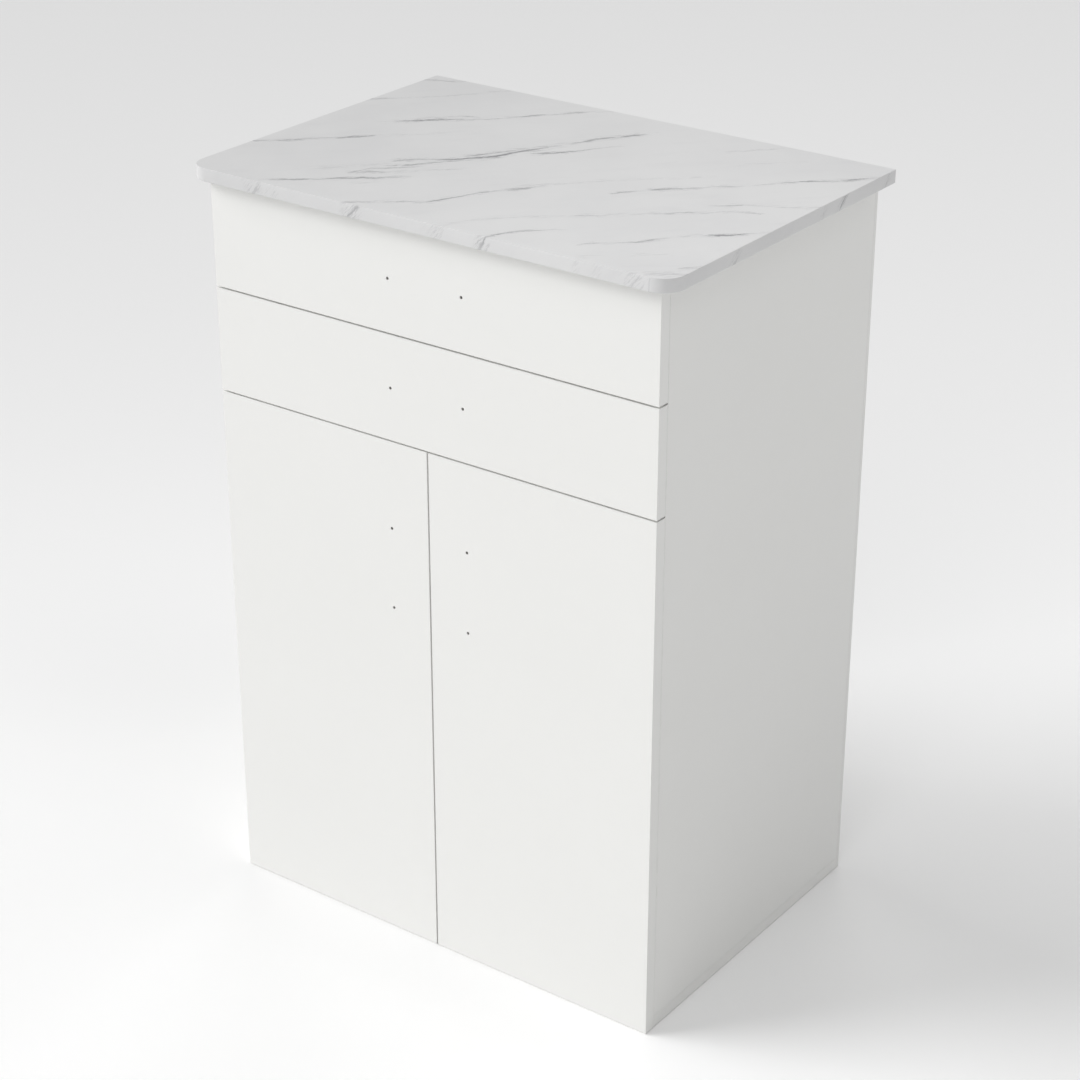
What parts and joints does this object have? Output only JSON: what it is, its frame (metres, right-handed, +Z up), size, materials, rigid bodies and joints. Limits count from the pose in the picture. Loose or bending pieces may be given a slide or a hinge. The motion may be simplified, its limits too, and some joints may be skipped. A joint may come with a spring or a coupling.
{
  "type": "bathroom vanity cabinet",
  "caption": "Floor-standing bathroom vanity cabinet: wide drawers above hinged doors, in white board, under a marble top with rounded front corners.",
  "frame": {"origin": "on the floor, at the middle of the worktop's outline, which is also the object's outline from above", "axes": "+X to the right of someone who faces the fronts, +Y back to the wall, +Z up"},
  "size_m": [0.62, 0.431, 0.881],
  "materials": {
    "white_board": "white laminated particle board, satin",
    "marble": "polished white and grey veined marble",
    "hardboard": "thin fibreboard with a white face",
    "steel": "zinc-plated rolled steel",
    "nickel": "nickel-plated stamped steel",
    "plastic": "moulded, matt"
  },
  "bodies": {
    "cabinet": {"worktop": "marble", "bottom_panel": "white_board", "side_panel_left": "white_board", "side_panel_right": "white_board", "front_rail": "white_board", "rear_rail": "white_board", "divider_shelf": "white_board", "adjustable_shelf": "white_board", "back_panel": "hardboard", "glide_front_left": "plastic", "shelf_pin_front_left": "plastic", "glide_front_right": "plastic", "shelf_pin_front_right": "plastic", "glide_rear_left": "plastic", "shelf_pin_rear_left": "plastic", "glide_rear_right": "plastic", "shelf_pin_rear_right": "plastic", "upper_slide_left_cabinet_member": "steel", "upper_slide_right_cabinet_member": "steel", "lower_slide_left_cabinet_member": "steel", "lower_slide_right_cabinet_member": "steel", "left_upper_hinge_arm": "nickel", "left_lower_hinge_arm": "nickel", "right_upper_hinge_arm": "nickel", "right_lower_hinge_arm": "nickel"},
    "upper_drawer": {"upper_drawer_front": "white_board", "upper_drawer_side_left": "white_board", "upper_drawer_side_right": "white_board", "upper_drawer_back": "white_board", "upper_drawer_bottom": "hardboard", "upper_slide_left_drawer_member": "steel", "upper_slide_right_drawer_member": "steel"},
    "upper_ball_cages": {"upper_slide_left_ball_cage": "steel", "upper_slide_right_ball_cage": "steel"},
    "lower_drawer": {"lower_drawer_front": "white_board", "lower_drawer_side_left": "white_board", "lower_drawer_side_right": "white_board", "lower_drawer_back": "white_board", "lower_drawer_bottom": "hardboard", "lower_slide_left_drawer_member": "steel", "lower_slide_right_drawer_member": "steel"},
    "lower_ball_cages": {"lower_slide_left_ball_cage": "steel", "lower_slide_right_ball_cage": "steel"},
    "left_door": {"door_left": "white_board", "left_upper_hinge_cup": "nickel", "left_lower_hinge_cup": "nickel"},
    "left_outer_links": {"left_upper_hinge_outer_link": "nickel", "left_lower_hinge_outer_link": "nickel"},
    "left_inner_links": {"left_upper_hinge_inner_link": "nickel", "left_lower_hinge_inner_link": "nickel"},
    "right_door": {"door_right": "white_board", "right_upper_hinge_cup": "nickel", "right_lower_hinge_cup": "nickel"},
    "right_outer_links": {"right_upper_hinge_outer_link": "nickel", "right_lower_hinge_outer_link": "nickel"},
    "right_inner_links": {"right_upper_hinge_inner_link": "nickel", "right_lower_hinge_inner_link": "nickel"}
  },
  "joints": [
    {"name": "upper_drawer_slide", "type": "slide", "parent": "cabinet", "child": "upper_drawer", "axis": [0, -1, 0], "range_m": [0, 0.26]},
    {"name": "upper_ball_cage_slide", "type": "slide", "parent": "cabinet", "child": "upper_ball_cages", "axis": [0, -1, 0], "range_m": [0, 0.13]},
    {"name": "lower_drawer_slide", "type": "slide", "parent": "cabinet", "child": "lower_drawer", "axis": [0, -1, 0], "range_m": [0, 0.26]},
    {"name": "lower_ball_cage_slide", "type": "slide", "parent": "cabinet", "child": "lower_ball_cages", "axis": [0, -1, 0], "range_m": [0, 0.13]},
    {"name": "left_outer_link_swing", "type": "hinge", "parent": "cabinet", "child": "left_outer_links", "pos_m": [-0.246, -0.17975, 0.31025], "axis": [0, 0, 1], "range_deg": [0, 38.1]},
    {"name": "left_door_swing", "type": "hinge", "parent": "left_outer_links", "child": "left_door", "pos_m": [-0.27687, -0.18787, 0.31025], "axis": [0, 0, -1], "range_deg": [0, 133]},
    {"name": "left_inner_link_swing", "type": "hinge", "parent": "cabinet", "child": "left_inner_links", "pos_m": [-0.25538, -0.19387, 0.31025], "axis": [0, 0, 1], "range_deg": [0, 49.5]},
    {"name": "right_outer_link_swing", "type": "hinge", "parent": "cabinet", "child": "right_outer_links", "pos_m": [0.246, -0.17975, 0.31025], "axis": [0, 0, -1], "range_deg": [0, 38.1]},
    {"name": "right_door_swing", "type": "hinge", "parent": "right_outer_links", "child": "right_door", "pos_m": [0.27687, -0.18787, 0.31025], "axis": [0, 0, 1], "range_deg": [0, 133]},
    {"name": "right_inner_link_swing", "type": "hinge", "parent": "cabinet", "child": "right_inner_links", "pos_m": [0.25538, -0.19387, 0.31025], "axis": [0, 0, -1], "range_deg": [0, 49.5]}
  ],
  "couplings": [
    {"joint": "upper_ball_cage_slide", "follows": "upper_drawer_slide", "ratio": 0.5},
    {"joint": "lower_ball_cage_slide", "follows": "lower_drawer_slide", "ratio": 0.5},
    {"joint": "left_outer_link_swing", "follows": "left_door_swing", "ratio": 0.28571},
    {"joint": "left_inner_link_swing", "follows": "left_door_swing", "ratio": 0.37143},
    {"joint": "right_outer_link_swing", "follows": "right_door_swing", "ratio": 0.28571},
    {"joint": "right_inner_link_swing", "follows": "right_door_swing", "ratio": 0.37143}
  ]
}
